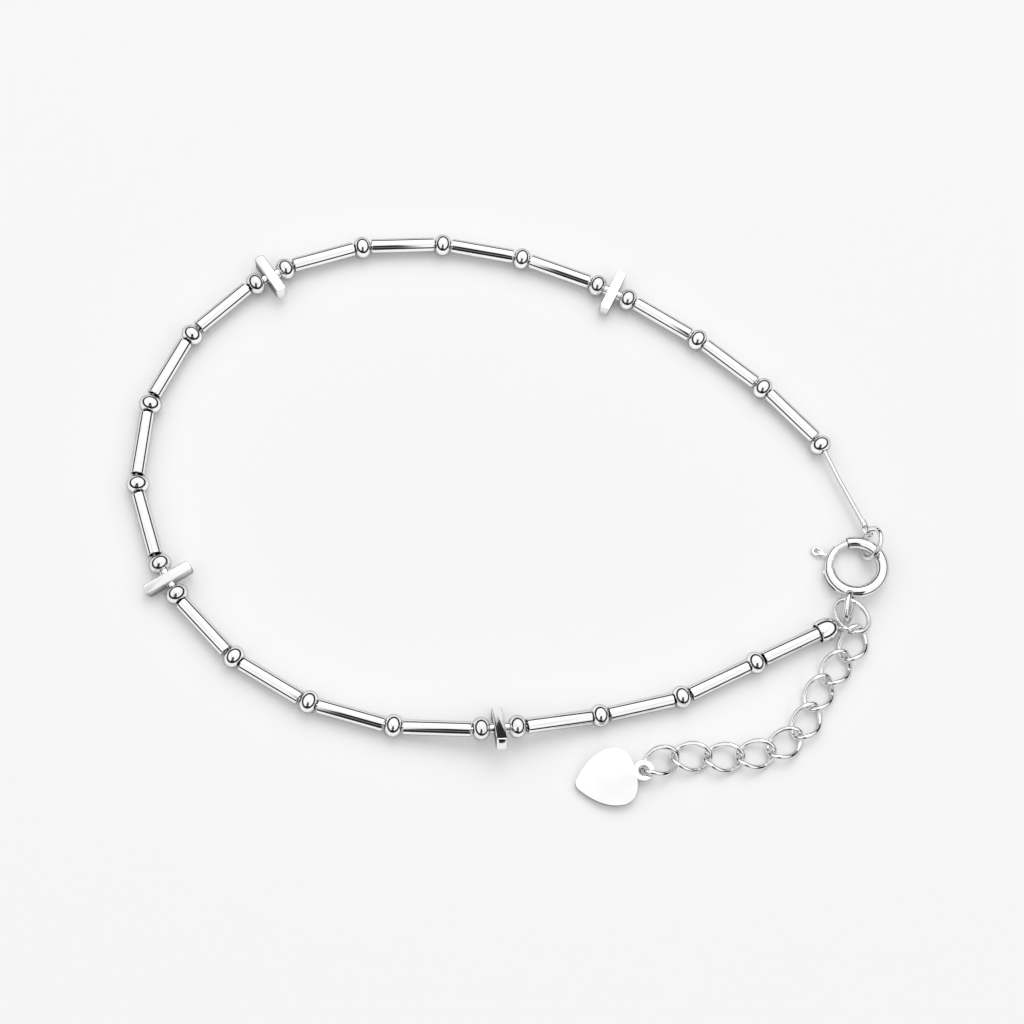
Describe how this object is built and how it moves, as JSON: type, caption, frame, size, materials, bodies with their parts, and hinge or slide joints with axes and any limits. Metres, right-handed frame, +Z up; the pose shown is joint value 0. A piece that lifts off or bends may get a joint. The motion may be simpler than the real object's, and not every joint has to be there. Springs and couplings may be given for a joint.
{
  "type": "beaded bracelet",
  "caption": "Fastened silver bracelet of straight tube beads, round beads and flat stick beads on a fine chain, with a spring-ring clasp, an extension chain and a heart tag.",
  "frame": {"origin": "centre of the object's box at its lowest level, where it lies on the surface", "axes": "+X along the loop's longest extent, from the left bend towards the clasp; +Y across the loop, away from the heart tag; +Z up from the surface, the thin way"},
  "size_m": [0.0629, 0.05, 0.0033],
  "materials": {
    "polished_silver": "mirror-polished sterling silver",
    "satin_silver": "polished sterling silver, slightly softer where it is drawn or woven"
  },
  "bodies": {
    "bracelet": {"chain_end": "polished_silver", "clasp_body": "polished_silver", "end_cap": "polished_silver", "heart_tag": "polished_silver", "jump_ring": "polished_silver", "link_01": "polished_silver", "link_02": "polished_silver", "link_03": "polished_silver", "link_04": "polished_silver", "link_05": "polished_silver", "link_06": "polished_silver", "link_07": "polished_silver", "link_08": "polished_silver", "link_09": "polished_silver", "link_10": "polished_silver", "round_bead_01": "polished_silver", "round_bead_02": "polished_silver", "round_bead_03": "polished_silver", "round_bead_04": "polished_silver", "round_bead_05": "polished_silver", "round_bead_06": "polished_silver", "round_bead_07": "polished_silver", "round_bead_08": "polished_silver", "round_bead_09": "polished_silver", "round_bead_10": "polished_silver", "round_bead_11": "polished_silver", "round_bead_12": "polished_silver", "round_bead_13": "polished_silver", "round_bead_14": "polished_silver", "round_bead_15": "polished_silver", "stick_bead_01": "polished_silver", "stick_bead_02": "polished_silver", "stick_bead_03": "polished_silver", "stick_bead_04": "polished_silver", "thread_chain": "satin_silver", "tube_bead_01": "polished_silver", "tube_bead_02": "polished_silver", "tube_bead_03": "polished_silver", "tube_bead_04": "polished_silver", "tube_bead_05": "polished_silver", "tube_bead_06": "polished_silver", "tube_bead_07": "polished_silver", "tube_bead_08": "polished_silver", "tube_bead_09": "polished_silver", "tube_bead_10": "polished_silver", "tube_bead_11": "polished_silver", "tube_bead_12": "polished_silver", "tube_bead_13": "polished_silver", "tube_bead_14": "polished_silver", "tube_bead_15": "polished_silver", "tube_bead_16": "polished_silver", "tube_bead_17": "polished_silver", "tube_bead_18": "polished_silver", "tube_bead_19": "polished_silver"},
    "bolt": {"clasp_bolt": "polished_silver"}
  },
  "joints": [
    {"name": "clasp_trigger", "type": "hinge", "parent": "bracelet", "child": "bolt", "pos_m": [0.02877, -0.0053, 0.001], "axis": [-0.1908, 0.0856, 0.9779], "range_deg": [0, 45], "stiffness_Nm_per_rad": 0.002, "springref_deg": -17.19}
  ]
}
